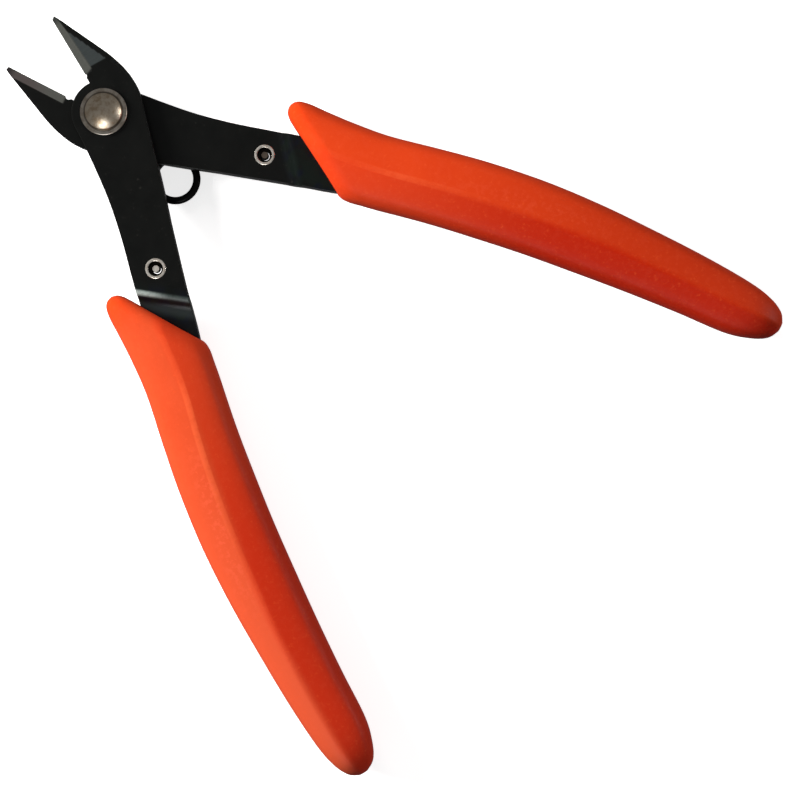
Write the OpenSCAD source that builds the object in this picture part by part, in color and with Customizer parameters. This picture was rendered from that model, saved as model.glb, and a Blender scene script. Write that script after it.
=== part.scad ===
// Flush cutter: two lapped, riveted cutting levers with an open coil return spring and moulded
// grips. Millimetres. Z is up through the rivet, the jaws point to +Y, and the part is drawn in
// its rest position, sprung open, with the origin at the bottom centre of the whole tool.

/* [Opening] */
// angle the two halves are sprung open by, measured from jaws closed
rest_angle = 35; // [30:1:38]

/* [Lever plates] */
// thickness of each stamped lever
plate_t = 2.4; // [2.2:0.1:2.6]
// running gap between the two lapped plates
lap_gap = 0.05; // [0.02:0.01:0.1]
// distance from the pivot to the offset bend in the arm, square to the bend
joggle_at = 27.3; // [26.9:0.1:27.6]
// angle the offset bend runs at across the arm
joggle_angle = 37.9; // [36:0.5:40]
// radius of the round boss about the pivot
boss_r = 5.1; // [4.8:0.1:5.3]

/* [Jaws] */
// distance from the pivot to the jaw tips
jaw_reach = 17.25; // [16.5:0.25:18]
// angle of the ground cutting bevel from the flat of the plate
bevel_angle = 60; // [50:1:70]
// distance from the pivot to where the nose starts to thin
nose_from = 7.2; // [7:0.1:9]
// plate thickness left at the tip
tip_t = 1.6; // [1.2:0.1:1.8]
// width of the ground land along the cutting edge
land_w = 1.25; // [0.8:0.05:1.6]
// depth the rest of the mating face is relieved by
land_relief = 0.06; // [0.03:0.01:0.1]
// width of the chamfer along the outside of the jaw
chamfer_w = 0.9; // [0.6:0.1:1]
// depth of that chamfer
chamfer_drop = 0.5; // [0.3:0.1:0.6]
// radius of the round relief at the root of the cutting edge
root_r = 0.5; // [0.3:0.1:0.6]

/* [Pivot] */
// rivet shank diameter
shank_d = 4; // [3.5:0.1:4.5]
// running clearance of the front lever on the shank, on the radius
pivot_fit = 0.05; // [0.02:0.01:0.1]
// rivet head diameter
head_d = 6.1; // [5.5:0.1:6.4]
// rivet head height
head_h = 1.6; // [1.2:0.1:1.8]
// formed tail diameter
tail_d = 5.8; // [5.2:0.1:6.4]
// formed tail height
tail_h = 0.9; // [0.6:0.1:1.2]
// washer diameter
washer_d = 7.4; // [6.8:0.1:8]
// washer thickness
washer_t = 0.5; // [0.4:0.05:0.6]

/* [Return spring] */
// spring wire diameter
wire_d = 1.2; // [1:0.05:1.25]
// mean radius of the coil
coil_r = 3.45; // [3.2:0.05:3.6]
// distance from the pivot to the middle of the coil
coil_at = 14.5; // [14.3:0.1:15]

/* [Eyelets] */
// outside diameter of the eyelet barrel
eyelet_d = 2.9; // [2.7:0.1:3.1]
// inside diameter of the eyelet
eyelet_bore = 2.3; // [2.1:0.1:2.4]
// diameter of the rolled rims
eyelet_rim_d = 3.4; // [3.2:0.1:3.7]
// thickness of the rolled rims
eyelet_rim_t = 0.12; // [0.08:0.02:0.16]

/* [Grips] */
// half thickness of the grip at its ridge
grip_half_t = 5.2; // [5.1:0.05:5.4]
// half thickness left where the ridge is flattened
grip_flat_z = 5; // [4.95:0.05:5.1]
// gap around the tang inside the grip
tang_fit = 0.04; // [0.02:0.01:0.08]

/* [Hidden] */

$fn = 64;

steel_black = [0.10, 0.10, 0.11];
nickel = [0.80, 0.79, 0.76];
spring_steel = [0.14, 0.14, 0.15];
grip_red = [0.86, 0.20, 0.08];

plate_z0 = lap_gap / 2;
plate_z1 = plate_z0 + plate_t;
joggle_drop = plate_z0 + plate_t / 2;
joggle_shift = plate_t * tan(22.5);
tang_half_t = plate_t / 2;

// cutting edge: leans a little, so the tips meet first
edge_root = [0.2, 7.4];
edge_tip = [-0.1, jaw_reach - 0.15];
edge_lean = atan2(edge_root[0] - edge_tip[0], edge_tip[1] - edge_root[1]);
nose_drop = atan2(plate_t - tip_t, jaw_reach - nose_from);

eyelet_pos = [-5, -25.4];

// control points of the lever outline, drawn with the jaws closed and the handle at -X
jaw_outer = [[0.5, jaw_reach], [1.15, jaw_reach - 1.2], [2.1, jaw_reach - 3.2], [3.1, 12],
             [4.05, 10], [5, 8], [5.75, 6], [6.3, 4], [6.48, 2], [6.35, 0], [5.9, -2]];
arm_inner = [[5.9, -2], [3.4, -11], [2.1, -15.5], [0.7, -20], [-1.05, -26], [-2.75, -32],
             [-4.35, -38], [-6.5, -44], [-8.3, -50], [-10.2, -60], [-11.7, -72], [-12.9, -84]];
tang_end = [[-12.9, -84], [-13.7, -85.7], [-15.1, -86.3], [-16.5, -85.7], [-17.3, -84]];
arm_outer = [[-17.3, -84], [-17.4, -72], [-16.4, -60], [-14.6, -50], [-13.3, -44], [-11.9, -38],
             [-10.7, -32], [-9.75, -28], [-8.75, -24], [-7.7, -20], [-6.8, -16], [-6.1, -12],
             [-5.65, -8], [-5.35, -4.5], [-boss_r - 0.05, -2]];

// grip stations: outer x, outer y, inner x, inner y, half thickness, place of the ridge
grip_stations = [
    [-11.6, -26.7, -4.6, -38.3, 0.72, 0.56],
    [-12.5, -25.85, -4.2, -38.8, 0.86, 0.56],
    [-13.7, -25.65, -4, -39.4, 0.94, 0.56],
    [-14.8, -26.4, -3.95, -40.1, 0.98, 0.56],
    [-15.3, -28.2, -4, -41, 1, 0.56],
    [-15.4, -31.5, -4.3, -42.6, 1, 0.55],
    [-15.6, -36, -4.75, -45.2, 1, 0.54],
    [-16.2, -42, -5.6, -49.5, 1, 0.53],
    [-17.8, -50, -6.5, -54.5, 1, 0.52],
    [-19.25, -58, -7.45, -61, 1, 0.5],
    [-20.4, -67.5, -8.5, -69, 1, 0.48],
    [-20.85, -77, -9.3, -77, 1, 0.46],
    [-20.8, -86, -10.1, -86, 0.99, 0.43],
    [-20.55, -95, -10.7, -95, 0.98, 0.41],
    [-19.95, -103, -11.05, -103, 0.96, 0.4],
    [-19.1, -107.1, -12, -107.1, 0.86, 0.41],
    [-17.9, -109.5, -13.2, -109.5, 0.62, 0.43],
    [-16.5, -110.5, -14.7, -110.5, 0.32, 0.46]];
// half of the grip section: place across the width, height as a share of the half thickness;
// the ridge sits at 0.5 and moves with the station
section_top = [[0, 0], [0.012, 0.26], [0.045, 0.48], [0.11, 0.68], [0.2, 0.81], [0.35, 0.92],
               [0.5, 1], [0.63, 0.89], [0.76, 0.76], [0.87, 0.62], [0.95, 0.44], [0.988, 0.23],
               [1, 0]];
stations_per_span = 3;

tail_tip = [-15.6, -110.6];
part_y0 = -tail_tip[0] * sin(rest_angle / 2) + tail_tip[1] * cos(rest_angle / 2);
part_y1 = jaw_reach * cos(rest_angle / 2) - 0.1;
part_shift = [0, -(part_y0 + part_y1) / 2, grip_flat_z];

// spring layers, lowest last
wire_r = wire_d / 2;
coil_z1 = -(plate_z1 + 0.06 + wire_r);
coil_z0 = coil_z1 - wire_d - 0.02;
rear_leg_z = coil_z1 - 0.16;
front_leg_z = plate_z0 - eyelet_rim_t - 0.14 - wire_r;
leg_bend_r = 1.1;
front_end_z = plate_z0 + 1.9;
rear_end_z = -plate_z1 + 1.5;
wire_sides = 12;

function catmull(a, b, c, d, t) =
    0.5 * (2 * b + (c - a) * t + (2 * a - 5 * b + 4 * c - d) * t * t
           + (3 * b - a - 3 * c + d) * t * t * t);

function spline(p, n) = [
    for (i = [0:len(p) - 2])
        for (j = [0:n - 1])
            catmull(p[max(i - 1, 0)], p[i], p[i + 1], p[min(i + 2, len(p) - 1)], j / n),
    p[len(p) - 1]];

function arc(c, r, a0, a1, n) = [for (i = [0:n]) c + r * [cos(a0 + (a1 - a0) * i / n),
                                                         sin(a0 + (a1 - a0) * i / n)]];

function turned(p, a) = [p[0] * cos(a) - p[1] * sin(a), p[0] * sin(a) + p[1] * cos(a)];

function unit(v) = v / norm(v);

function tail(p, n) = [for (i = [n:len(p) - 1]) p[i]];

module rest_half(side) {
    translate(part_shift)
        rotate([0, 0, -side * rest_angle / 2])
            rotate([0, side > 0 ? 0 : 180, 0])
                children();
}

// gap grows the tang sideways and at its end, for the slot in the grip
module lever_outline(gap = 0) {
    boss = arc([0, 0], boss_r, 180, 87, 16);
    polygon(concat([edge_tip], spline(jaw_outer, 3),
                   [for (p = tail(spline(arm_inner, 3), 1)) p + [gap, 0]],
                   [for (p = tang_end) p - [0, gap]],
                   [for (p = spline(arm_outer, 3)) p - [gap, 0]],
                   boss, [edge_root]));
}

// side profile of the plate and its offset bend, extruded along the bend
module plate_profile() {
    reach = 100;
    rotate([0, 0, -90 - joggle_angle])
        rotate([90, 0, 0])
            linear_extrude(height = 120, center = true)
                polygon([[-40, plate_z0], [joggle_at - joggle_shift, plate_z0],
                         [joggle_at - joggle_shift + joggle_drop, plate_z0 - joggle_drop],
                         [reach, plate_z0 - joggle_drop], [reach, plate_z1 - joggle_drop],
                         [joggle_at + joggle_drop, plate_z1 - joggle_drop],
                         [joggle_at, plate_z1], [-40, plate_z1]]);
}

// everything above the ground bevel, along the cutting edge only
module bevel_cut() {
    translate([edge_root[0], edge_root[1] - 1, plate_z0])
        rotate([0, 0, edge_lean])
            rotate([0, -bevel_angle, 0])
                cube([12, 20, 6]);
}

module nose_cut() {
    translate([-5, nose_from, plate_z1])
        rotate([-nose_drop, 0, 0])
            cube([20, 20, 5]);
}

// chamfer along the outside of the jaw, one plane to each stretch of its outline, shallower
// towards the pivot until it runs out
module outer_chamfer() {
    p = spline(jaw_outer, 2);
    for (i = [0:len(p) - 2])
        let (d = p[i + 1] - p[i],
             mid_y = (p[i][1] + p[i + 1][1]) / 2,
             top = plate_z1 - max(0, mid_y - nose_from) * tan(nose_drop),
             drop = chamfer_drop * min(1, mid_y / nose_from))
            if (mid_y > 0.4)
                translate([p[i][0], p[i][1], top - drop])
                    rotate([0, 0, atan2(d[1], d[0])])
                        rotate([-atan2(chamfer_drop, chamfer_w), 0, 0])
                            translate([-0.15, -3, 0])
                                cube([norm(d) + 0.3, 5, 3]);
}

module mating_relief() {
    translate([edge_root[0] + land_w, edge_root[1], plate_z0 - 1])
        rotate([0, 0, edge_lean])
            translate([0, -0.7, 0])
                cube([12, 20, 1 + land_relief]);
}

module lever(bore_d) {
    difference() {
        intersection() {
            translate([0, 0, -3])
                linear_extrude(height = 8)
                    lever_outline();
            plate_profile();
        }
        bevel_cut();
        nose_cut();
        outer_chamfer();
        mating_relief();
        translate([0, 0, -4])
            cylinder(h = 10, d = bore_d);
        translate([eyelet_pos[0], eyelet_pos[1], -4])
            cylinder(h = 10, d = eyelet_d);
        translate([edge_root[0] - 0.15, edge_root[1] - 0.9, -4])
            cylinder(h = 10, r = root_r);
    }
}

module front_lever() {
    color(steel_black)
        rest_half(1)
            lever(shank_d + 2 * pivot_fit);
}

module rear_lever() {
    color(steel_black)
        rest_half(-1)
            lever(shank_d);
}

module pivot_rivet() {
    head_z = plate_z1 + lap_gap + washer_t;
    dome_h = head_h - 0.35;
    dome_r = (head_d * head_d / 4 + dome_h * dome_h) / (2 * dome_h);
    tail_r = (tail_d * tail_d / 4 + tail_h * tail_h) / (2 * tail_h);
    color(nickel)
        translate(part_shift)
            union() {
                translate([0, 0, -plate_z1])
                    cylinder(h = plate_z1 + head_z, d = shank_d);
                translate([0, 0, head_z])
                    cylinder(h = 0.35, d = head_d);
                intersection() {
                    translate([0, 0, head_z + head_h - dome_r])
                        sphere(r = dome_r, $fn = 96);
                    translate([0, 0, head_z + 0.35])
                        cylinder(h = 5, d = head_d);
                }
                intersection() {
                    translate([0, 0, -plate_z1 - tail_h + tail_r])
                        sphere(r = tail_r, $fn = 96);
                    translate([0, 0, -plate_z1 - 5])
                        cylinder(h = 5, d = tail_d + 2);
                }
            }
}

module pivot_washer() {
    color(nickel)
        translate(part_shift)
            translate([0, 0, plate_z1 + lap_gap])
                difference() {
                    cylinder(h = washer_t, d = washer_d);
                    translate([0, 0, -1])
                        cylinder(h = 3, d = shank_d);
                }
}

module eyelet() {
    translate([eyelet_pos[0], eyelet_pos[1], 0])
        difference() {
            union() {
                translate([0, 0, plate_z0])
                    cylinder(h = plate_t, d = eyelet_d);
                translate([0, 0, plate_z1])
                    cylinder(h = eyelet_rim_t, d = eyelet_rim_d);
                translate([0, 0, plate_z0 - eyelet_rim_t])
                    cylinder(h = eyelet_rim_t, d = eyelet_rim_d);
            }
            translate([0, 0, -1])
                cylinder(h = 6, d = eyelet_bore);
        }
}

module front_eyelet() {
    color(nickel)
        rest_half(1)
            eyelet();
}

module rear_eyelet() {
    color(nickel)
        rest_half(-1)
            eyelet();
}

// wire path: each entry is a point and the level direction that squares its section
module return_spring() {
    foot = turned(eyelet_pos, -rest_angle / 2);
    centre = [0, -coil_at];
    spread = asin(coil_r / norm([foot[0], foot[1] + coil_at]));
    lean = atan2(-coil_at - foot[1], -foot[0]);
    leave = 90 + lean + spread;
    touch = centre + coil_r * [cos(leave), sin(leave)];
    run = unit(touch - foot);
    side = [run[1], -run[0], 0];
    steps = 72;
    sweep = 360 + 2 * (leave - 90);
    function leg(end_z, z_in, z_out) = concat(
        [for (z = [end_z, (end_z + z_in + leg_bend_r) / 2]) [foot[0], foot[1], z]],
        [for (a = [0:15:90]) [foot[0] + run[0] * leg_bend_r * (1 - cos(a)),
                              foot[1] + run[1] * leg_bend_r * (1 - cos(a)),
                              z_in + leg_bend_r * (1 - sin(a))]],
        [for (k = [1:6]) let (q = foot + run * leg_bend_r, w = k / 7)
            [q[0] + (touch[0] - q[0]) * w, q[1] + (touch[1] - q[1]) * w,
             z_in + (z_out - z_in) * w]]);
    front = leg(front_end_z, front_leg_z, coil_z1);
    rear = leg(rear_end_z, rear_leg_z, coil_z0);
    coil = [for (i = [0:steps]) let (a = leave + sweep * (1 - i / steps) - sweep)
            [centre[0] + coil_r * cos(a), centre[1] + coil_r * sin(a),
             coil_z1 + (coil_z0 - coil_z1) * i / steps]];
    path = concat([for (p = front) [p, side]],
                  [for (p = coil) [p, unit([p[0] - centre[0], p[1] - centre[1], 0])]],
                  [for (i = [len(rear) - 1:-1:0])
                      [[-rear[i][0], rear[i][1], rear[i][2]], [-side[0], side[1], 0]]]);
    n = len(path);
    rings = [for (i = [0:n - 1])
        let (p = path[i][0],
             q = unit(path[min(i + 1, n - 1)][0] - path[max(i - 1, 0)][0]),
             u = unit(path[i][1] - (path[i][1] * q) * q),
             v = cross(q, u))
            for (k = [0:wire_sides - 1])
                p + wire_r * (cos(360 * k / wire_sides) * u + sin(360 * k / wire_sides) * v)];
    walls = [for (i = [0:n - 2])
        for (k = [0:wire_sides - 1])
            let (a = i * wire_sides + k, b = i * wire_sides + (k + 1) % wire_sides)
                [a, a + wire_sides, b + wire_sides, b]];
    first = [for (k = [0:wire_sides - 1]) k];
    last = [for (k = [wire_sides - 1:-1:0]) (n - 1) * wire_sides + k];
    color(spring_steel)
        translate(part_shift)
            polyhedron(points = rings, faces = concat([first], walls, [last]), convexity = 6);
}

// closed loop of one grip section, front half then back half
function grip_section(s) =
    let (half = [for (q = section_top)
             [q[0] < 0.5 ? q[0] * s[5] / 0.5 : s[5] + (q[0] - 0.5) * (1 - s[5]) / 0.5, q[1]]],
         m = len(half))
        [for (i = [0:2 * m - 3])
            let (q = i < m ? half[i] : half[2 * m - 2 - i],
                 f = i < m ? 1 : -1)
                [s[0] + (s[2] - s[0]) * q[0], s[1] + (s[3] - s[1]) * q[0],
                 f * q[1] * s[4] * grip_half_t]];

module grip_body() {
    s = spline(grip_stations, stations_per_span);
    n = len(s);
    m = 2 * len(section_top) - 2;
    points = [for (i = [0:n - 1]) for (p = grip_section(s[i])) p];
    walls = [for (i = [0:n - 2])
        for (k = [0:m - 1])
            let (a = i * m + k, b = i * m + (k + 1) % m)
                for (f = [[a, b, b + m], [a, b + m, a + m]]) f];
    first = [for (k = [m - 1:-1:0]) k];
    last = [for (k = [0:m - 1]) (n - 1) * m + k];
    polyhedron(points = points, faces = concat([first], walls, [last]), convexity = 4);
}

module grip() {
    difference() {
        grip_body();
        translate([0, 0, -tang_half_t - tang_fit])
            linear_extrude(height = 2 * (tang_half_t + tang_fit))
                lever_outline(tang_fit);
        for (z = [grip_flat_z, -grip_flat_z - 2])
            translate([-40, -130, z])
                cube([60, 120, 2]);
    }
}

module front_grip() {
    color(grip_red)
        rest_half(1)
            grip();
}

module rear_grip() {
    color(grip_red)
        rest_half(-1)
            grip();
}

front_lever();
rear_lever();
pivot_rivet();
pivot_washer();
return_spring();
front_eyelet();
rear_eyelet();
front_grip();
rear_grip();
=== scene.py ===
import math

import bmesh
import bpy
import numpy as np
from mathutils import Matrix, Vector


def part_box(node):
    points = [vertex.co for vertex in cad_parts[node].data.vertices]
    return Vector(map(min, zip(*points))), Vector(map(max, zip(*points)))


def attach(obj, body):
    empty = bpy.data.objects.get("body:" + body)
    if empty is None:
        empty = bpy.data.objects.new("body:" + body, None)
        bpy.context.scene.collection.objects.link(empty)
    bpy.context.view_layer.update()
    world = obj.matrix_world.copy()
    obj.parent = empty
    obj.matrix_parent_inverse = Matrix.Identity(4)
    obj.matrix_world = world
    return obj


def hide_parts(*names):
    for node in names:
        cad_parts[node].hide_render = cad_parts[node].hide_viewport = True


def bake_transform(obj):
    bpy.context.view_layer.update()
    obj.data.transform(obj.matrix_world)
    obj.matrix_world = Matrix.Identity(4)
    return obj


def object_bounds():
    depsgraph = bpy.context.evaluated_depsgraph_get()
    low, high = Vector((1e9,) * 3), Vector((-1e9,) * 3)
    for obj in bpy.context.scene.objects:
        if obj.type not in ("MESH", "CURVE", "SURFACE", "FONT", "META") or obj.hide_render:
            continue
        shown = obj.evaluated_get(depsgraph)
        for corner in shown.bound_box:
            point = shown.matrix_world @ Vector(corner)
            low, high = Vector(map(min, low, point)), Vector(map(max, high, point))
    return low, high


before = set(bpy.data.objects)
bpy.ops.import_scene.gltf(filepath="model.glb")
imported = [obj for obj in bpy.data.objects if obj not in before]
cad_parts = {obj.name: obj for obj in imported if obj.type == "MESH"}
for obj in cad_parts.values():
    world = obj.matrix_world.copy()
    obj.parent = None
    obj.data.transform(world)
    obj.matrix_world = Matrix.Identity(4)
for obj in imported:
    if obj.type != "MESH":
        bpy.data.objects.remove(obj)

# The stage is in metres. Shapes and materials are in millimetres in the closed frame of one half:
# pivot at 0, jaws to +Y, handle to -X. half_matrix() takes that frame into the row frame.
MM = 0.001
FRONT, REAR = 1, -1
SIDE_NAME = {FRONT: "front", REAR: "rear"}
OPEN = math.radians(35) / 2  # how far each half is turned from closed at rest

cad_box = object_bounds()
centre = (Vector(cad_box[0]) + Vector(cad_box[1])) / 2
washer_low, washer_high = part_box("pivot_washer")
grip_low, grip_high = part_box("front_grip")
PIVOT = Vector(((washer_low.x + washer_high.x) / 2,
                (washer_low.y + washer_high.y) / 2,
                (grip_low.z + grip_high.z) / 2))

# lever
PLATE_GAP = 0.025  # from the middle plane to a plate's inner face
PLATE_T = 2.4
PLATE_TOP = PLATE_GAP + PLATE_T
JAW_REACH = 17.25  # from the pivot to the tip
EDGE_ROOT, EDGE_TIP = (0.2, 7.4), (-0.1, 17.1)  # ends of the cutting edge
BEVEL_SLOPE = math.tan(math.radians(30))  # of the ground bevel, across for each millimetre up
LAND_W = 1.25  # width of the flat ground land behind the edge
NOSE_FROM = 7.2  # where the top of the jaw starts to taper
TIP_T = 1.6  # thickness left at the tip
BEND_AT = (-8.95, -27.6)  # a point on the offset bend's line
BEND_LEAN = math.radians(37.9)  # of that line, from square across the arm
BEND_ROUND = 0.6
STAMP_ROUND = 0.2
TANG_HALF = PLATE_T / 2

# rivet, washer and eyelets
SHANK_R = 2.0
HEAD_R = 3.05
TAIL_R, TAIL_H = 2.9, 0.9
WASHER_R = 3.7
EYELET = (-5.0, -25.4)  # its place in the arm
EYELET_BORE_R = 1.15
EYELET_BARREL_R = 1.45
EYELET_RIM_R, EYELET_RIM_T = 1.62, 0.12

# spring
WIRE_R = 0.6
WIRE_BEND_R = 1.1  # where a leg turns up into its eyelet
COIL_R = 3.45  # to the middle of the wire
COIL_AT = 14.5  # from the pivot to the coil's middle, towards the handles

# grips
GRIP_HALF = 5.2  # half of the thickness before the ridge is flattened
GRIP_FLAT = 4.99  # height of the flattened ridge
LIP_DEPTH = 2.6  # length over which the mouth thins to its lip
LIP_SHARE = 0.5  # of the thickness, left at the lip
POCKET_HALF = TANG_HALF + 0.06


def half_matrix(side):
    """The closed frame of one half, in millimetres, into the row frame in metres."""
    turn = Matrix.Rotation(-side * OPEN, 4, "Z")
    flip = Matrix.Rotation(math.pi, 4, "Y") if side == REAR else Matrix.Identity(4)
    return Matrix.Translation(PIVOT) @ turn @ flip @ Matrix.Scale(MM, 4)


def pivot_matrix():
    """Millimetres about the pivot into the row frame in metres, without a turn."""
    return Matrix.Translation(PIVOT) @ Matrix.Scale(MM, 4)


# ---------------------------------------------------------------- camera and light

VIEW_TURN = math.radians(46.9)
IMAGE_RIGHT = Vector((math.cos(VIEW_TURN), -math.sin(VIEW_TURN), 0))
IMAGE_UP = Vector((math.sin(VIEW_TURN), math.cos(VIEW_TURN), 0))
CAMERA_FROM_PIVOT = (-1.252, -64.808)  # millimetres
CAMERA_HEIGHT = 0.350
CAMERA_LENS = 98.27
ROOM_LIGHT, ROOM_SEEN = 0.15, 0.92  # strength for the tool and for the camera

camera_data = bpy.data.cameras.new("camera")
camera_data.sensor_width = 36
camera_data.lens = CAMERA_LENS
camera_data.dof.use_dof = False
camera = bpy.data.objects.new("camera", camera_data)
camera.location = (PIVOT.x + CAMERA_FROM_PIVOT[0] * MM,
                   PIVOT.y + CAMERA_FROM_PIVOT[1] * MM,
                   CAMERA_HEIGHT)
camera.rotation_euler = (0, 0, -VIEW_TURN)
bpy.context.scene.collection.objects.link(camera)
bpy.context.scene.camera = camera


def area_light(name, right, up, height, size, watts, colour=(1, 1, 1), shines=True, mirrored=True):
    """A soft disc aimed at the tool. It can shine on surfaces, show as a reflection in them, or both.

    right, up, height and size are in metres, the first two as the camera sees them from the middle.
    """
    data = bpy.data.lights.new(name, "AREA")
    data.shape = "DISK"
    data.size = size
    data.energy = watts
    data.color = colour
    light = bpy.data.objects.new(name, data)
    spot = centre + IMAGE_RIGHT * right + IMAGE_UP * up
    light.location = (spot.x, spot.y, height)
    aim = Vector((centre.x, centre.y, 0)) - light.location
    light.rotation_euler = aim.to_track_quat("-Z", "Y").to_euler()
    light.visible_diffuse = shines
    light.visible_glossy = mirrored
    bpy.context.scene.collection.objects.link(light)


area_light("key", -0.31, 0.08, 0.175, 0.18, 2.4, (1, 0.985, 0.96), mirrored=False)
area_light("top", -0.10, 0.36, 0.21, 0.22, 0.45, (1, 0.99, 0.97), mirrored=False)
area_light("fill", 0.42, 0.12, 0.15, 0.20, 0.40, mirrored=False)
area_light("window", -0.08, -0.36, 0.29, 0.26, 0.9, (0.97, 0.99, 1), shines=False)
area_light("strip_right", 0.40, 0.06, 0.14, 0.12, 0.35, shines=False)

# the room lights the tool as a soft grey and is seen as a pale wall
world = bpy.data.worlds.new("studio")
world.use_nodes = True
background = world.node_tree.nodes["Background"]
background.inputs["Color"].default_value = (1, 1, 1, 1)
light_path = world.node_tree.nodes.new("ShaderNodeLightPath")
level = world.node_tree.nodes.new("ShaderNodeMapRange")
level.inputs["To Min"].default_value = ROOM_LIGHT
level.inputs["To Max"].default_value = ROOM_SEEN
world.node_tree.links.new(light_path.outputs["Is Camera Ray"], level.inputs["Value"])
world.node_tree.links.new(level.outputs["Result"], background.inputs["Strength"])
bpy.context.scene.world = world
bpy.context.scene.view_settings.view_transform = "Standard"


# ---------------------------------------------------------------- material helpers

class Tree:
    """A material's node tree with short ways to add nodes and links."""

    def __init__(self, name, roughness=0.5, metallic=0.0, specular=0.5):
        self.material = bpy.data.materials.new(name)
        self.material.use_nodes = True
        self.tree = self.material.node_tree
        self.bsdf = self.tree.nodes["Principled BSDF"]
        self.bsdf.inputs["Roughness"].default_value = roughness
        self.bsdf.inputs["Metallic"].default_value = metallic
        self.bsdf.inputs["Specular IOR Level"].default_value = specular

    def put(self, socket, value):
        if isinstance(value, bpy.types.NodeSocket):
            self.tree.links.new(value, socket)
        elif isinstance(value, tuple) and len(value) == 3 and socket.type == "RGBA":
            socket.default_value = (*value, 1)
        else:
            socket.default_value = value

    def node(self, kind, inputs=None, **settings):
        n = self.tree.nodes.new(kind)
        for key, value in settings.items():
            setattr(n, key, value)
        for key, value in (inputs or {}).items():
            self.put(n.inputs[key], value)
        return n

    def coordinates(self, side=None):
        """Object coordinates in millimetres about the pivot, in a side's closed frame if one is given."""
        place = self.node("ShaderNodeTexCoord").outputs["Object"]
        turn = (0, math.pi if side == REAR else 0, -side * OPEN if side else 0)
        mapping = self.node("ShaderNodeMapping", {"Vector": place, "Location": PIVOT, "Rotation": turn,
                                                  "Scale": (MM, MM, MM)}, vector_type="TEXTURE")
        return mapping.outputs["Vector"]

    def split(self, vector):
        xyz = self.node("ShaderNodeSeparateXYZ", {"Vector": vector})
        return xyz.outputs[0], xyz.outputs[1], xyz.outputs[2]

    def stretch(self, vector, scale, turn=0.0):
        inputs = {"Vector": vector, "Scale": scale, "Rotation": (0, 0, turn)}
        return self.node("ShaderNodeMapping", inputs).outputs["Vector"]

    def noise(self, vector, scale, detail=3.0, roughness=0.5):
        inputs = {"Vector": vector, "Scale": scale, "Detail": detail, "Roughness": roughness}
        return self.node("ShaderNodeTexNoise", inputs).outputs["Fac"]

    def math(self, operation, a, b=0.0, c=0.0):
        n = self.node("ShaderNodeMath", operation=operation)
        for socket, value in zip(n.inputs, (a, b, c)):
            self.put(socket, value)
        return n.outputs[0]

    def minus(self, a, b):
        return self.math("SUBTRACT", a, b)

    def times(self, first, *others):
        for other in others:
            first = self.math("MULTIPLY", first, other)
        return first

    def step(self, value, low, high, start=0.0, end=1.0):
        """Smooth change from start to end as value goes from low to high."""
        inputs = {"Value": value, "From Min": low, "From Max": high, "To Min": start, "To Max": end}
        n = self.node("ShaderNodeMapRange", inputs, interpolation_type="SMOOTHSTEP")
        return n.outputs["Result"]

    def near(self, value, target, inside, outside, strength=1.0):
        """Full strength within `inside` of the target, fading to 0 at `outside`."""
        return self.step(self.math("ABSOLUTE", self.minus(value, target)), inside, outside, strength, 0)

    def mix(self, factor, a, b):
        n = self.node("ShaderNodeMix", {"Factor": factor, 6: a, 7: b}, data_type="RGBA")
        return n.outputs[2]

    def blend(self, factor, a, b):
        n = self.node("ShaderNodeMix", {"Factor": factor, 2: a, 3: b}, data_type="FLOAT")
        return n.outputs[0]

    def bump(self, height, distance, strength=1.0, normal=None):
        inputs = {"Height": height, "Distance": distance * MM, "Strength": strength}
        if normal is not None:
            inputs["Normal"] = normal
        return self.node("ShaderNodeBump", inputs).outputs["Normal"]

    def finish(self, colour, roughness=None, metallic=None, normal=None):
        inputs = {"Base Color": colour, "Roughness": roughness, "Metallic": metallic, "Normal": normal}
        for key, value in inputs.items():
            if value is not None:
                self.put(self.bsdf.inputs[key], value)
        return self.material


# ---------------------------------------------------------------- materials

def jaw_masks(t, x, y, z):
    """Masks of the ground bevel, the flat land behind the edge and the tapered top of the nose."""
    lean = (EDGE_TIP[0] - EDGE_ROOT[0]) / (EDGE_TIP[1] - EDGE_ROOT[1])
    from_edge = t.minus(x, t.math("MULTIPLY_ADD", y, lean, EDGE_ROOT[0] - lean * EDGE_ROOT[1]))
    above = t.minus(z, PLATE_GAP)
    on_jaw = t.step(y, EDGE_ROOT[1] - 0.7, EDGE_ROOT[1] - 0.3)
    bevel = t.times(t.near(from_edge, t.times(above, BEVEL_SLOPE), 0.05, 0.16), on_jaw)
    on_land = t.step(from_edge, LAND_W - 0.07, LAND_W + 0.05, 1, 0)
    land = t.times(t.step(above, 0.012, 0.04, 1, 0), on_land, on_jaw)
    taper = (PLATE_T - TIP_T) / (JAW_REACH - NOSE_FROM)
    nose_top = t.math("MULTIPLY_ADD", y, -taper, PLATE_TOP + taper * NOSE_FROM)
    nose = t.times(t.near(z, nose_top, 0.03, 0.07), t.step(y, NOSE_FROM - 0.05, NOSE_FROM + 0.15))
    return bevel, land, nose


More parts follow.
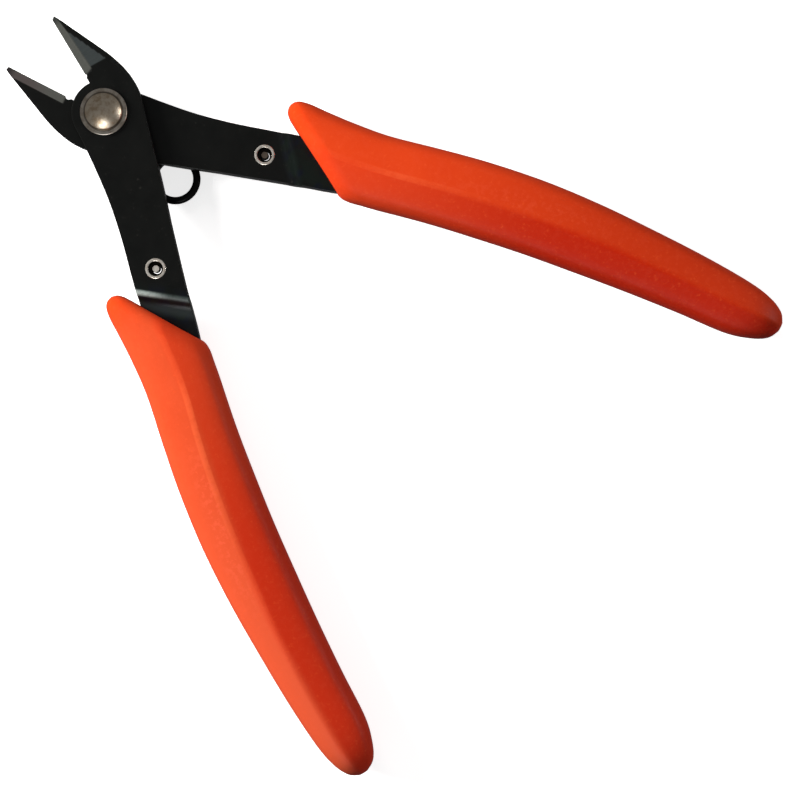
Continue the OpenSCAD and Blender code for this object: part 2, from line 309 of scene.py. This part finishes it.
def oxide_colour(t, p, x, y, cloud, grain, side):
    """Mottled black with a painted blue to green sheen past the bend; on the front lever a painted
    highlight along the bend and a paler band before the grip.
    """
    oxide = t.mix(cloud, (0.0022, 0.0024, 0.0023), (0.0055, 0.0057, 0.0052))
    oxide = t.mix(t.step(grain, 0.55, 0.75, 0, 0.5), oxide, (0.0105, 0.0105, 0.0100))
    past_bend = t.math("ADD", t.times(t.minus(x, BEND_AT[0]), math.sin(BEND_LEAN)),
                       t.times(t.minus(y, BEND_AT[1]), math.cos(BEND_LEAN)))
    # painted reflection: past the bend, towards the grip, a blue to green sheen is mixed into the black
    painted_reflection_tint = t.mix(t.step(t.noise(p, 0.45, 2.0), 0.42, 0.58),
                (0.0030, 0.0052, 0.0110), (0.0048, 0.0090, 0.0070))
    painted_sheen_mask = t.times(t.step(past_bend, -0.5, 2.5, 1, 0),
                    t.step(t.noise(p, 0.5, 2.0), 0.35, 0.62, 0.2, 1))
    oxide = t.mix(t.times(painted_sheen_mask, 0.7), oxide, painted_reflection_tint)
    if side == FRONT:
        # painted highlight along the front lever's convex offset bend, brightest towards the outer edge
        bend_highlight = t.times(t.near(past_bend, 0.05, 0.12, 0.62),
                       t.step(t.noise(p, 2.2), 0.25, 0.6, 0.7, 1))
        bend_highlight_colour = t.mix(t.step(x, -8.5, -5.0), (0.34, 0.40, 0.38), (0.045, 0.058, 0.055))
        oxide = t.mix(bend_highlight, oxide, bend_highlight_colour)
        # a paler band on the front lever between the bend and the grip's mouth
        pale_band = t.times(t.step(past_bend, -0.9, -1.7), t.step(past_bend, -3.4, -2.0))
        oxide = t.mix(t.times(pale_band, 0.5), oxide, (0.030, 0.037, 0.037))
    return oxide


def lever_material(side):
    """Black oxide over fine blasted steel, with the jaw's ground faces bare."""
    t = Tree(f"{SIDE_NAME[side]}_lever_oxide", specular=0.24)
    p = t.coordinates(side)
    x, y, z = t.split(p)
    grain = t.noise(p, 9.0, 4.0, 0.6)
    cloud = t.noise(p, 0.35, 3.0, 0.55)
    bevel, land, nose = jaw_masks(t, x, y, z)
    colour = oxide_colour(t, p, x, y, cloud, grain, side)
    # fine stone marks run across the edge
    marks = t.noise(t.stretch(p, (0.6, 14, 0.6), 0.25), 1.0, 3.0, 0.6)
    colour = t.mix(nose, colour, t.mix(marks, (0.022, 0.027, 0.028), (0.048, 0.055, 0.055)))
    land_tint = t.mix(t.step(y, 8.5, 13.5), (0.074, 0.078, 0.070), (0.064, 0.050, 0.050))
    colour = t.mix(land, colour, t.mix(t.times(marks, 0.6), land_tint, (0.095, 0.090, 0.084)))
    colour = t.mix(bevel, colour, t.mix(marks, (0.042, 0.045, 0.041), (0.088, 0.090, 0.080)))
    # the very tips are dark, and handling has rubbed small patches bare
    colour = t.mix(t.step(y, 15.4, 16.9, 0, 0.75), colour, (0.010, 0.010, 0.011))
    patches = t.step(t.noise(p, 1.1, 2.0), 0.58, 0.72)
    rub = t.times(patches, t.step(t.noise(p, 3.0, 3.0, 0.6), 0.55, 0.7, 0, 0.35))
    colour = t.mix(rub, colour, (0.045, 0.042, 0.038))
    ground = t.math("MAXIMUM", t.math("MAXIMUM", bevel, land), t.times(nose, 0.5))
    rough = t.blend(ground, t.blend(cloud, 0.30, 0.44), t.blend(marks, 0.28, 0.45))
    normal = t.bump(t.times(marks, ground), 0.02, 0.6, t.bump(grain, 0.012, 0.5))
    return t.finish(colour, rough, t.times(ground, 0.25), normal)


def nickel_material(name, light, dark, rough, eyelet_side=None):
    """Cloudy plated metal, with painted shade in an eyelet's bore and in the crease where the rivet meets
    its washer.
    """
    t = Tree(name, metallic=1.0 if eyelet_side is None else 0.75)
    p = t.coordinates(eyelet_side)
    cloud = t.noise(p, 0.9, 3.0, 0.6)
    fine = t.noise(p, 14.0, 3.0, 0.6)
    colour = t.mix(t.step(cloud, 0.35, 0.7), light, dark)
    colour = t.mix(t.step(fine, 0.62, 0.74, 0, 0.35), colour, (0.25, 0.21, 0.17))
    axis = (0, 0, 0) if eyelet_side is None else (*EYELET, 0)
    offset = t.node("ShaderNodeVectorMath", {0: p, 1: axis}, operation="SUBTRACT").outputs[0]
    flat = t.node("ShaderNodeVectorMath", {0: offset, 1: (1, 1, 0)}, operation="MULTIPLY").outputs[0]
    radius = t.node("ShaderNodeVectorMath", {0: flat}, operation="LENGTH").outputs["Value"]
    if eyelet_side is None:
        # painted shade: a dark ring in the crease where the head's edge meets the washer
        colour = t.mix(t.near(radius, HEAD_R - 0.07, 0.04, 0.24, 0.75), colour, (0.080, 0.060, 0.042))
    else:
        # painted shade down the eyelet's bore
        bore_shade = t.step(radius, EYELET_BORE_R, EYELET_BORE_R + 0.09, 1, 0)
        colour = t.mix(bore_shade, colour, (0.022, 0.016, 0.012))
    return t.finish(colour, t.blend(cloud, rough, rough + 0.12), None, t.bump(fine, 0.01, 0.4))


def wire_material():
    """Dark drawn wire."""
    t = Tree("spring_wire_black", specular=0.12)
    p = t.coordinates()
    drawn = t.noise(p, 5.0, 3.0, 0.6)
    colour = t.mix(drawn, (0.0010, 0.0010, 0.0011), (0.0032, 0.0030, 0.0030))
    return t.finish(colour, t.blend(drawn, 0.28, 0.42), None, t.bump(t.noise(p, 12.0, 2.0), 0.01, 0.4))


def cut_end_material(name, dark, light):
    """The sheared end of the spring's wire, with marks of the cut."""
    t = Tree(name, metallic=0.3)
    marks = t.noise(t.stretch(t.coordinates(), (2, 12, 2)), 1.0, 2.0)
    colour = t.mix(marks, dark, light)
    return t.finish(colour, t.blend(marks, 0.30, 0.5), None, t.bump(marks, 0.02, 0.5))


# base: the two colours of the clouding. painted_tail_shading: colour towards the tail, painted light on
# the front grip
# and painted shade on the rear one. spine: end y and x of the ridge's line. inner_shade: start y and the
# two colours of the painted shade on the inner facet. fade: where that shade is full. ridge: y and
# strength of the painted highlight on the ridge from tail to mouth. mottle: strength of the mottled
# strip.
GRIP_LOOK = {
    FRONT: {"base": ((0.61, 0.062, 0.017), (0.70, 0.082, 0.025)), "painted_tail_shading": (0.73, 0.092, 0.033),
            "spine": (-88, -16.9), "inner_shade": (-42, (0.76, 0.054, 0.013), (0.66, 0.026, 0.005)),
            "fade": 1.5, "ridge": (-76, -52, 0.25, 1), "mottle": 0.75},
    REAR: {"base": ((0.69, 0.046, 0.008), (0.78, 0.064, 0.012)), "painted_tail_shading": (0.60, 0.036, 0.006),
           "spine": (-85, -15.4), "inner_shade": (-38, (0.74, 0.050, 0.010), (0.54, 0.015, 0.001)),
           "fade": 0.8, "ridge": (-62, -40, 0.05, 0.8), "mottle": 0.3},
}


def grip_material(side):
    """Moulded vinyl: orange red, slightly cloudy, with an orange-peel skin and faint handling marks."""
    look = GRIP_LOOK[side]
    t = Tree(f"{SIDE_NAME[side]}_grip_vinyl", specular=0.11)
    p = t.coordinates(side)
    x, y, z = t.split(p)
    speck = t.noise(p, 1.6, 4.0, 0.65)
    scuff = t.noise(t.stretch(p, (2.2, 0.35, 1.0), 0.4), 1.0, 4.0, 0.7)
    colour = t.mix(t.noise(p, 0.16, 4.0, 0.6), *look["base"])
    # painted light and shade along the length: lighter towards the front grip's tail, darker towards the
    # rear grip's tail
    colour = t.mix(t.step(y, -40, -95), colour, look["painted_tail_shading"])
    # painted shade: the facet on the inner side of the ridge is darker, more so towards the tail, and so
    # is the horn
    spine = t.step(y, -30, look["spine"][0], -9.6, look["spine"][1])
    past_spine = t.minus(x, spine)
    inner_shade_from, inner_shade_mouth, inner_shade_tail = look["inner_shade"]
    inner_shade = t.mix(t.step(y, inner_shade_from, -75), inner_shade_mouth, inner_shade_tail)
    colour = t.mix(t.times(t.step(past_spine, -0.6, look["fade"]), 0.9), colour, inner_shade)
    # painted shade on the horn
    colour = t.mix(t.step(y, -33, -26, 0, 0.85), colour, (0.64, 0.045, 0.006))
    colour = t.mix(t.step(speck, 0.55, 0.75, 0, 0.35), colour, (0.84, 0.100, 0.024))
    colour = t.mix(t.step(scuff, 0.64, 0.78, 0, 0.18), colour, (0.52, 0.040, 0.010))
    # painted highlight along the raised ridge, partly also rubbed lighter, less so towards its two ends
    ridge = t.times(t.step(t.math("ABSOLUTE", z), GRIP_FLAT - 0.06, GRIP_FLAT - 0.01),
                    t.step(y, *look["ridge"]), t.step(t.noise(p, 0.9), 0.3, 0.6, 0.55, 1),
                    t.step(y, -47, -40, 1, 0.25))
    colour = t.mix(t.times(ridge, 0.5), colour, (0.93, 0.140, 0.045))
    # a faint mottled strip beside the ridge
    strip = t.times(t.step(past_spine, -3.6, -2.0), t.step(past_spine, -0.6, 0.2, 1, 0),
                    t.step(y, -60, -50, 1, 0), t.step(y, -84, -70))
    mottle = t.times(t.step(t.noise(p, 1.1, 4.0, 0.7), 0.48, 0.60),
                     t.blend(strip, 0.12, look["mottle"]))
    colour = t.mix(t.times(mottle, 0.4), colour, (0.86, 0.125, 0.060))
    rough = t.blend(t.step(scuff, 0.45, 0.7), 0.46, 0.58)
    peel = t.bump(t.noise(p, 3.2, 2.0, 0.5), 0.02, 0.5)
    return t.finish(colour, rough, None, t.bump(speck, 0.01, 0.35, peel))


def floor_material():
    """A pale floor that glows slightly, so it takes only faint shadows."""
    t = Tree("studio_floor", roughness=0.9, specular=0.1)
    t.bsdf.inputs["Emission Color"].default_value = (1, 1, 1, 1)
    t.bsdf.inputs["Emission Strength"].default_value = 0.75
    cloud = t.noise(t.coordinates(), 0.02, 2.0)
    return t.finish(t.mix(cloud, (0.90, 0.90, 0.90), (0.92, 0.92, 0.92)))


# ---------------------------------------------------------------- shape helpers

def add_object(name, mesh):
    piece = bpy.data.objects.new(name, mesh)
    bpy.context.scene.collection.objects.link(piece)
    return piece


def make_piece(name, verts, faces, materials, smooth_angle=40, slots=None):
    mesh = bpy.data.meshes.new(name)
    mesh.from_pydata([tuple(v) for v in verts], [], faces)
    for m in materials:
        mesh.materials.append(m)
    if slots is not None:
        mesh.polygons.foreach_set("material_index", slots)
    mesh.polygons.foreach_set("use_smooth", [True] * len(mesh.polygons))
    mesh.update()
    bm = bmesh.new()
    bm.from_mesh(mesh)
    bmesh.ops.recalc_face_normals(bm, faces=bm.faces)
    bm.to_mesh(mesh)
    bm.free()
    mesh.set_sharp_from_angle(angle=math.radians(smooth_angle))
    return add_object(name, mesh)


def catmull(points, n):
    """Points on a Catmull-Rom curve through the given ones, n to a span."""
    p = np.asarray(points, float)
    out = []
    for i in range(len(p) - 1):
        a, b, c, d = p[max(i - 1, 0)], p[i], p[i + 1], p[min(i + 2, len(p) - 1)]
        for t in np.arange(n) / n:
            square, cube = 2 * a - 5 * b + 4 * c - d, 3 * b - a - 3 * c + d
            out.append(0.5 * (2 * b + (c - a) * t + square * t ** 2 + cube * t ** 3))
    out.append(p[-1])
    return np.array(out)


def even(line, n):
    """n points evenly spaced along an open line."""
    line = np.asarray(line, float)
    run = np.concatenate([[0], np.cumsum(np.linalg.norm(np.diff(line, axis=0), axis=1))])
    want = np.linspace(0, run[-1], n)
    return np.stack([np.interp(want, run, line[:, k]) for k in range(line.shape[1])], 1)


def rings_to_faces(count, around):
    """The faces of a closed tube of count rings, with the two end caps last."""
    faces = []
    for i in range(count - 1):
        for k in range(around):
            a, b = i * around + k, i * around + (k + 1) % around
            faces.append((a, b, b + around, a + around))
    faces.append(tuple(range(around - 1, -1, -1)))
    faces.append(tuple(range((count - 1) * around, count * around)))
    return faces


def lathe(name, profile, material, matrix, sides):
    """A turned solid from (radius, height) pairs in millimetres; a radius of 0 closes on the axis."""
    verts, faces, rows = [], [], []
    circle = [2 * math.pi * k / sides for k in range(sides)]
    for r, h in profile:
        if r < 1e-6:
            rows.append([len(verts)])
            verts.append((0, 0, h))
        else:
            rows.append(list(range(len(verts), len(verts) + sides)))
            verts += [(r * math.cos(a), r * math.sin(a), h) for a in circle]
    pairs = list(zip(rows, rows[1:]))
    if len(rows[0]) > 1 and len(rows[-1]) > 1:
        pairs.append((rows[-1], rows[0]))
    for low, high in pairs:
        for k in range(sides):
            j = (k + 1) % sides
            if len(low) == 1:
                faces.append((low[0], high[k], high[j]))
            elif len(high) == 1:
                faces.append((low[k], low[j], high[0]))
            else:
                faces.append((low[k], low[j], high[j], high[k]))
    return make_piece(name, [matrix @ Vector(v) for v in verts], faces, [material])


def rounded(points, radius, steps=5):
    """A (radius, height) line with its inner corners rounded."""
    out = [points[0]]
    for a, b, c in zip(points, points[1:], points[2:]):
        a, b, c = Vector(a), Vector(b), Vector(c)
        u, v = a - b, c - b
        cut = min(radius, u.length * 0.45, v.length * 0.45)
        start, end = b + u.normalized() * cut, b + v.normalized() * cut
        for i in range(steps + 1):
            s = i / steps
            out.append(tuple((1 - s) ** 2 * start + 2 * s * (1 - s) * b + s ** 2 * end))
    out.append(points[-1])
    return out


# ---------------------------------------------------------------- levers

def is_bend(e):
    """An edge of the offset bend: a crease between two faces that look up or down."""
    if len(e.link_faces) != 2 or not 0.5 < e.calc_face_angle(0) < 1.0:
        return False
    return min(abs(f.normal.z) for f in e.link_faces) > 0.6 and e.verts[0].co.y < -20


def is_outline(e):
    """A stamped outer edge, apart from the jaw, the bores and the hidden end of the tang."""
    if len(e.link_faces) != 2 or e.calc_face_angle(0) < 0.7:
        return False
    middle = (e.verts[0].co + e.verts[1].co) / 2
    jaw_from = 0.3 if middle.x > 3 else 6.2
    if max(v.co.y for v in e.verts) > jaw_from or middle.y < -60:
        return False
    near_rivet = math.hypot(middle.x, middle.y) < 3
    near_eyelet = math.hypot(middle.x - EYELET[0], middle.y - EYELET[1]) < 1.7
    if near_rivet or near_eyelet:
        return False
    upright, flat = sorted(abs(f.normal.z) for f in e.link_faces)
    return upright < 0.2 and flat > 0.6


def ease(bm, wanted, offset, segments):
    """Round the edges that wanted() picks."""
    bm.normal_update()
    bmesh.ops.bevel(bm, geom=[e for e in bm.edges if wanted(e)], offset=offset, segments=segments,
                    profile=0.5, affect="EDGES", clamp_overlap=False)


def refined_lever(node, side, body):
    """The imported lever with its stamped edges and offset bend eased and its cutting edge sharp."""
    to_row = half_matrix(side)
    bm = bmesh.new()
    bm.from_mesh(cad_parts[node].data)
    bm.transform(to_row.inverted())
    bmesh.ops.remove_doubles(bm, verts=bm.verts, dist=0.003)
    bmesh.ops.dissolve_limit(bm, angle_limit=math.radians(0.5), verts=bm.verts, edges=bm.edges,
                             use_dissolve_boundaries=False)
    ease(bm, is_bend, BEND_ROUND, 5)
    ease(bm, is_outline, STAMP_ROUND, 3)
    bmesh.ops.remove_doubles(bm, verts=bm.verts, dist=0.004)
    bmesh.ops.dissolve_degenerate(bm, dist=0.002, edges=bm.edges)
    bm.transform(to_row)
    mesh = bpy.data.meshes.new(f"{node}_blade")
    bm.to_mesh(mesh)
    bm.free()
    mesh.polygons.foreach_set("use_smooth", [True] * len(mesh.polygons))
    mesh.set_sharp_from_angle(angle=math.radians(28))
    mesh.materials.append(lever_material(side))
    piece = add_object(f"{node}_blade", mesh)
    weighted = piece.modifiers.new("weighted", "WEIGHTED_NORMAL")
    weighted.keep_sharp = True
    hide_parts(node)
    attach(piece, body)


refined_lever("front_lever", FRONT, "front_half")
refined_lever("rear_lever", REAR, "rear_half")


# ---------------------------------------------------------------- grips

# from mouth to tail: outer x and y, inner x and y, share of the half thickness, and the ridge's place
# across the front grip and the rear one
GRIP_STATIONS = [
    (-11.6, -26.7, -4.6, -38.3, 1, 0.55, 0.54),
    (-12.5, -25.85, -4.2, -38.8, 1, 0.55, 0.54),
    (-13.7, -25.65, -4, -39.4, 1, 0.55, 0.54),
    (-14.8, -26.4, -3.95, -40.1, 1, 0.55, 0.54),
    (-15.3, -28.2, -4, -41, 1, 0.55, 0.54),
    (-15.4, -31.5, -4.3, -42.6, 1, 0.545, 0.54),
    (-15.6, -36, -4.75, -45.2, 1, 0.545, 0.535),
    (-16.2, -42, -5.6, -49.5, 1, 0.53, 0.53),
    (-17.8, -50, -6.5, -54.5, 1, 0.50, 0.53),
    (-19.25, -58, -7.45, -61, 1, 0.48, 0.53),
    (-20.4, -67.5, -8.5, -69, 1, 0.465, 0.53),
    (-20.85, -77, -9.3, -77, 1, 0.445, 0.53),
    (-20.8, -86, -10.1, -86, 0.99, 0.41, 0.53),
    (-20.55, -95, -10.7, -95, 0.98, 0.38, 0.52),
    (-19.95, -103, -11.05, -103, 0.96, 0.37, 0.51),
    (-19.1, -107.1, -12, -107.1, 0.86, 0.39, 0.5),
    (-17.9, -109.5, -13.2, -109.5, 0.62, 0.42, 0.5),
    (-16.5, -110.5, -14.7, -110.5, 0.32, 0.46, 0.5)]
# upper half of the section: place across the width and height, both as shares; the two runs meet at
# the narrow ridge
SECTION_OUTER = [(0, 0), (0.012, 0.26), (0.045, 0.48), (0.11, 0.67), (0.2, 0.785), (0.33, 0.885),
                 (0.484, 0.966)]
SECTION_INNER = [(0.516, 0.966), (0.65, 0.893), (0.78, 0.808), (0.88, 0.705), (0.95, 0.53),
                 (0.988, 0.30), (1, 0)]
SECTION_WIDTH = 14.0


def grip_half_section(across=57):
    """The upper half of the section, evenly sampled, with a flattened ridge and softened corners."""
    size = [SECTION_WIDTH, GRIP_HALF]
    runs = [catmull(np.array(run) * size, 12) for run in (SECTION_OUTER, SECTION_INNER)]
    fine = even(np.concatenate(runs), 400)
    fine[:, 1] = np.minimum(fine[:, 1], GRIP_FLAT)
    kernel = np.hanning(11)
    kernel /= kernel.sum()
    mirrored = fine * [1, -1]
    padded = np.concatenate([mirrored[5:0:-1], fine, mirrored[-2:-7:-1]])
    soft = np.stack([np.convolve(padded[:, k], kernel, "valid") for k in (0, 1)], 1)
    soft[0, 1] = soft[-1, 1] = 0
    soft = even(soft, across)
    across_share = (soft[:, 0] - soft[0, 0]) / (soft[-1, 0] - soft[0, 0])
    return np.stack([across_share, soft[:, 1] / GRIP_HALF], 1)


def lever_span(node, side, start, end):
    """Where the lever crosses the upright plane through start and end, as shares of that length."""
    bm = bmesh.new()
    bm.from_mesh(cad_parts[node].data)
    bm.transform(half_matrix(side).inverted())
    origin = Vector((*start, 0))
    chord = Vector((*(end - start), 0))
    normal = Vector((-chord.y, chord.x, 0)).normalized()
    cut = bmesh.ops.bisect_plane(bm, geom=bm.verts[:] + bm.edges[:] + bm.faces[:],
                                 plane_co=origin, plane_no=normal)
    shares = [(v.co - origin).dot(chord) / chord.length_squared
              for v in cut["geom_cut"] if isinstance(v, bmesh.types.BMVert)]
    bm.free()
    return min(shares), max(shares)


def make_grip(name, node, lever, side, body):
    """A lofted sleeve: from inside the tang's pocket, out round the lip and along to the tail."""
    ridge_column = 5 if side == FRONT else 6
    stations = catmull([(*g[:5], g[ridge_column]) for g in GRIP_STATIONS], 7)
    half = grip_half_section()
    top_count = len(half)
    around = 2 * top_count - 2
    start, end = stations[0][:2], stations[0][2:4]
    chord = end - start
    outward = np.array([-chord[1], chord[0]]) / np.linalg.norm(chord)
    if outward[1] < 0:
        outward = -outward
    away = np.array([*outward, 0])

    def ring(station):
        outer, inner, thick, ridge = station[:2], station[2:4], station[4], station[5]
        points = []
        for i in range(around):
            on_top = i < top_count
            q, h = half[i] if on_top else half[around - i]
            q = q * ridge / 0.5 if q < 0.5 else ridge + (q - 0.5) * (1 - ridge) / 0.5
            at = outer + (inner - outer) * q
            # the section thins to the lip as it nears the plane of the mouth
            depth = min(1, max(0, np.dot(start - at, outward)) / LIP_DEPTH)
            lip = LIP_SHARE + (1 - LIP_SHARE) * math.sqrt(1 - (1 - depth) ** 2)
            z = (1 if on_top else -1) * min(h * thick * GRIP_HALF, GRIP_FLAT) * lip
            points.append(np.array([*at, z]))
        return points

    first = ring(stations[0])
    low, high = lever_span(lever, side, start, end)
    low, high = max(low, 0.02), min(high, 0.975)
    pocket = []
    for p in first:
        share = np.dot(p[:2] - start, chord) / np.dot(chord, chord)
        at = start + chord * (low + (high - low) * share)
        pocket.append(np.array([*at, np.clip(p[2], -POCKET_HALF, POCKET_HALF)]))
    rings = [[p - away * depth for p in pocket] for depth in (4.0, 2.0, 1.0, 0.45)]
    for s, depth in ((0.97, 0.26), (0.88, 0.12), (0.74, 0.03), (0.55, 0), (0.3, 0), (0.12, 0)):
        rings.append([a + (b - a) * s - away * depth for a, b in zip(first, pocket)])
    rings += [ring(s) for s in stations]
    # the last station closes over a small round end
    tail = rings[-1]
    last = stations[-1]
    middle = np.array([*(last[:2] + last[2:4]) / 2, 0]) - [0, 0.09, 0]
    for s, along in ((0.75, 0.65), (0.45, 0.25), (0.15, 0.03)):
        rings.append([middle + (p - middle) * [s, along, s] for p in tail])
    to_row = half_matrix(side)
    verts = [to_row @ Vector(p) for r in rings for p in r]
    faces = rings_to_faces(len(rings), around)
    grip = make_piece(name, verts, faces, [grip_material(side)], smooth_angle=60)
    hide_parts(node)
    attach(grip, body)


make_grip("front_grip_sleeve", "front_grip", "front_lever", FRONT, "front_half")
make_grip("rear_grip_sleeve", "rear_grip", "rear_lever", REAR, "rear_half")


# ---------------------------------------------------------------- rivet, washer and eyelets

def height_range(node):
    """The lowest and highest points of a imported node, in millimetres from the pivot."""
    low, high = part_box(node)
    return (low.z - PIVOT.z) / MM, (high.z - PIVOT.z) / MM


def make_rivet():
    """A domed head with a rolled, slightly undercut edge, a plain shank and a formed tail."""
    low, high = height_range("pivot_rivet")
    seat = height_range("pivot_washer")[1]
    dome_edge_r, edge_h = 2.78, 0.35
    dome = high - seat - edge_h
    dome_r = (HEAD_R ** 2 + dome ** 2) / (2 * dome)
    cap = [(dome_r * math.sin(a), high - dome_r * (1 - math.cos(a)))
           for a in np.linspace(0, math.asin(dome_edge_r / dome_r), 22)]
    foot_r = (TAIL_R ** 2 + TAIL_H ** 2) / (2 * TAIL_H)
    foot = [(foot_r * math.sin(a), low + foot_r * (1 - math.cos(a)))
            for a in np.linspace(0, math.asin(TAIL_R / foot_r), 16)]
    shoulder = cap[-1][1]
    edge = [(2.90, shoulder - 0.12), (2.99, shoulder - 0.27), (3.02, shoulder - 0.42),
            (2.97, seat + 0.07), (2.86, seat)]
    line = foot + [(SHANK_R, low + TAIL_H), (SHANK_R, seat)] + edge[::-1] + cap[::-1]
    # the warm brown of the rivet's plating is partly its own colour and partly a painted reflection of a
    # warm room
    metal = nickel_material("rivet_nickel", (0.78, 0.67, 0.53), (0.50, 0.37, 0.24), 0.29)
    rivet = lathe("pivot_rivet_head", line, metal, pivot_matrix(), 128)
    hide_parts("pivot_rivet")
    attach(rivet, "rear_half")


def make_washer():
    """A flat ring with its outer corners rounded."""
    low, high = height_range("pivot_washer")
    line = rounded([(SHANK_R, low), (WASHER_R, low), (WASHER_R, high), (SHANK_R, high)], 0.16)
    metal = nickel_material("washer_steel", (0.74, 0.67, 0.58), (0.46, 0.39, 0.31), 0.26)
    washer = lathe("pivot_washer_ring", line, metal, pivot_matrix(), 128)
    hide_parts("pivot_washer")
    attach(washer, "rear_half")


def make_eyelet(name, node, side, body):
    """A hollow eyelet: a barrel through the plate, a curled rim on top and a closed-in rim below."""
    low, high = PLATE_GAP - EYELET_RIM_T, PLATE_TOP + EYELET_RIM_T
    curl_at = (EYELET_RIM_R + EYELET_BORE_R) / 2
    curl_r = (EYELET_RIM_R - EYELET_BORE_R) / 2
    curl = [(curl_at + curl_r * math.cos(a), high - EYELET_RIM_T + EYELET_RIM_T * math.sin(a))
            for a in np.radians(np.arange(180, -1, -15))]
    rolled_under = [(r, low + high - h) for r, h in curl[3:]]
    closed_in = [(0.70, low + 0.30), (0.68, low + 0.16), (0.74, low + 0.08), (0.90, low + 0.06)]
    barrel = [(EYELET_BARREL_R, high - EYELET_RIM_T), (EYELET_BARREL_R, low + EYELET_RIM_T)]
    line = ([(EYELET_BORE_R, high - 0.40)] + curl + barrel + rolled_under[::-1] + closed_in[::-1]
            + [(EYELET_BORE_R, low + 0.34)])
    if side == REAR:
        line = [(r, low + high - h) for r, h in line]
    at = half_matrix(side) @ Matrix.Translation((*EYELET, 0))
    metal = nickel_material(f"{node}_nickel", (0.92, 0.87, 0.80), (0.66, 0.58, 0.49), 0.20, side)
    eyelet = lathe(name, line, metal, at, 64)
    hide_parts(node)
    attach(eyelet, body)


make_rivet()
make_washer()
make_eyelet("front_eyelet_rolled", "front_eyelet", FRONT, "front_half")
make_eyelet("rear_eyelet_rolled", "rear_eyelet", REAR, "rear_half")


# ---------------------------------------------------------------- return spring

def spring_leg(foot, touch, end_z, level_z, coil_z):
    """From the wire's end in the eyelet, bent level under the plates, to where it joins the coil."""
    run = (touch - foot) / np.linalg.norm(touch - foot)
    points = [(*foot, z) for z in np.linspace(end_z, level_z + WIRE_BEND_R, 6)[:-1]]
    for a in np.linspace(0, math.pi / 2, 12):
        out, down = WIRE_BEND_R * (1 - math.cos(a)), WIRE_BEND_R * (1 - math.sin(a))
        points.append((*(foot + run * out), level_z + down))
    knee = foot + run * WIRE_BEND_R
    for w in np.arange(1, 14) / 14:
        eased = w * w * (3 - 2 * w)
        points.append((*(knee + (touch - knee) * w), level_z + (coil_z - level_z) * eased))
    return points


def spring_path():
    """The wire's middle line, and its foot in the front eyelet."""
    # heights of the front end's turn, next to the plates, and of the rear end's turn below it
    front_turn_z = -(PLATE_TOP + 0.06 + WIRE_R)
    rear_turn_z = front_turn_z - 2 * WIRE_R - 0.02
    front_level_z = PLATE_GAP - EYELET_RIM_T - 0.14 - WIRE_R
    foot = np.array([EYELET[0] * math.cos(OPEN) + EYELET[1] * math.sin(OPEN),
                     EYELET[1] * math.cos(OPEN) - EYELET[0] * math.sin(OPEN)])
    coil_centre = np.array([0, -COIL_AT])
    spread = math.asin(COIL_R / np.linalg.norm(foot - coil_centre))
    lean = math.atan2(-COIL_AT - foot[1], -foot[0])
    leave = math.pi / 2 + lean + spread
    touch = coil_centre + COIL_R * np.array([math.cos(leave), math.sin(leave)])
    front = spring_leg(foot, touch, PLATE_GAP + 1.9, front_level_z, front_turn_z)
    rear = spring_leg(foot, touch, -PLATE_TOP + 1.9, front_turn_z - 0.16, rear_turn_z)
    sweep = 2 * math.pi + 2 * (leave - math.pi / 2)
    coil = []
    for share in np.arange(145) / 144:
        a = leave - sweep * share
        coil.append((COIL_R * math.cos(a), COIL_R * math.sin(a) - COIL_AT,
                     front_turn_z + (rear_turn_z - front_turn_z) * share))
    path = np.array(front + coil + [(-x, y, z) for x, y, z in rear[::-1]])
    gaps = np.linalg.norm(np.diff(path, axis=0), axis=1)
    return path[np.concatenate([[True], gaps > 0.02])], foot


def make_spring(sides=24):
    """One swept wire: a foot in each eyelet, and an open coil of one and a quarter turns between."""
    path, foot = spring_path()
    tangents = np.gradient(path, axis=0)
    tangents /= np.linalg.norm(tangents, axis=1)[:, None]
    across = np.cross(tangents[0], [0.3, 1, 0.1])
    # shift along the wire and share of its radius: both cut ends are slightly rounded
    cut_end = [(-0.07, 0.88), (-0.055, 0.95), (-0.02, 0.99), (0.04, 1)]
    circle = np.arange(sides) * 2 * math.pi / sides
    rings = []
    for i, (p, t) in enumerate(zip(path, tangents)):
        across = across - np.dot(across, t) * t
        across /= np.linalg.norm(across)
        other = np.cross(t, across)
        shapes = [(0, 1)]
        if i == 0:
            shapes = cut_end
        if i == len(path) - 1:
            shapes = [(-shift, share) for shift, share in cut_end[::-1]]
        for shift, share in shapes:
            rings.append([p + t * shift + WIRE_R * share * (math.cos(a) * across + math.sin(a) * other)
                          for a in circle])
    faces = rings_to_faces(len(rings), sides)
    slots = [0] * (len(faces) - 2) + [1, 2]
    finishes = [wire_material(),
                cut_end_material("wire_end_bright", (0.44, 0.41, 0.37), (0.70, 0.66, 0.61)),
                # the rear cut end is the same sheared wire, painted dark brown as shade inside its eyelet
                cut_end_material("wire_end_painted_shade", (0.060, 0.044, 0.034), (0.130, 0.102, 0.080))]
    to_row = pivot_matrix()
    verts = [to_row @ Vector(v) for r in rings for v in r]
    spring = make_piece("return_spring_wire", verts, faces, finishes, 50, slots)
    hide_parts("return_spring")
    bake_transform(spring)


make_spring()


# ---------------------------------------------------------------- floor

FLOOR_REACH = 3.0
floor_mesh = bpy.data.meshes.new("studio_floor")
corners = [(x * FLOOR_REACH, y * FLOOR_REACH, 0) for x, y in ((-1, -1), (1, -1), (1, 1), (-1, 1))]
floor_mesh.from_pydata(corners, [], [(0, 1, 2, 3)])
floor_mesh.materials.append(floor_material())
floor = add_object("studio_floor", floor_mesh)
floor.visible_diffuse = False
floor.visible_glossy = False
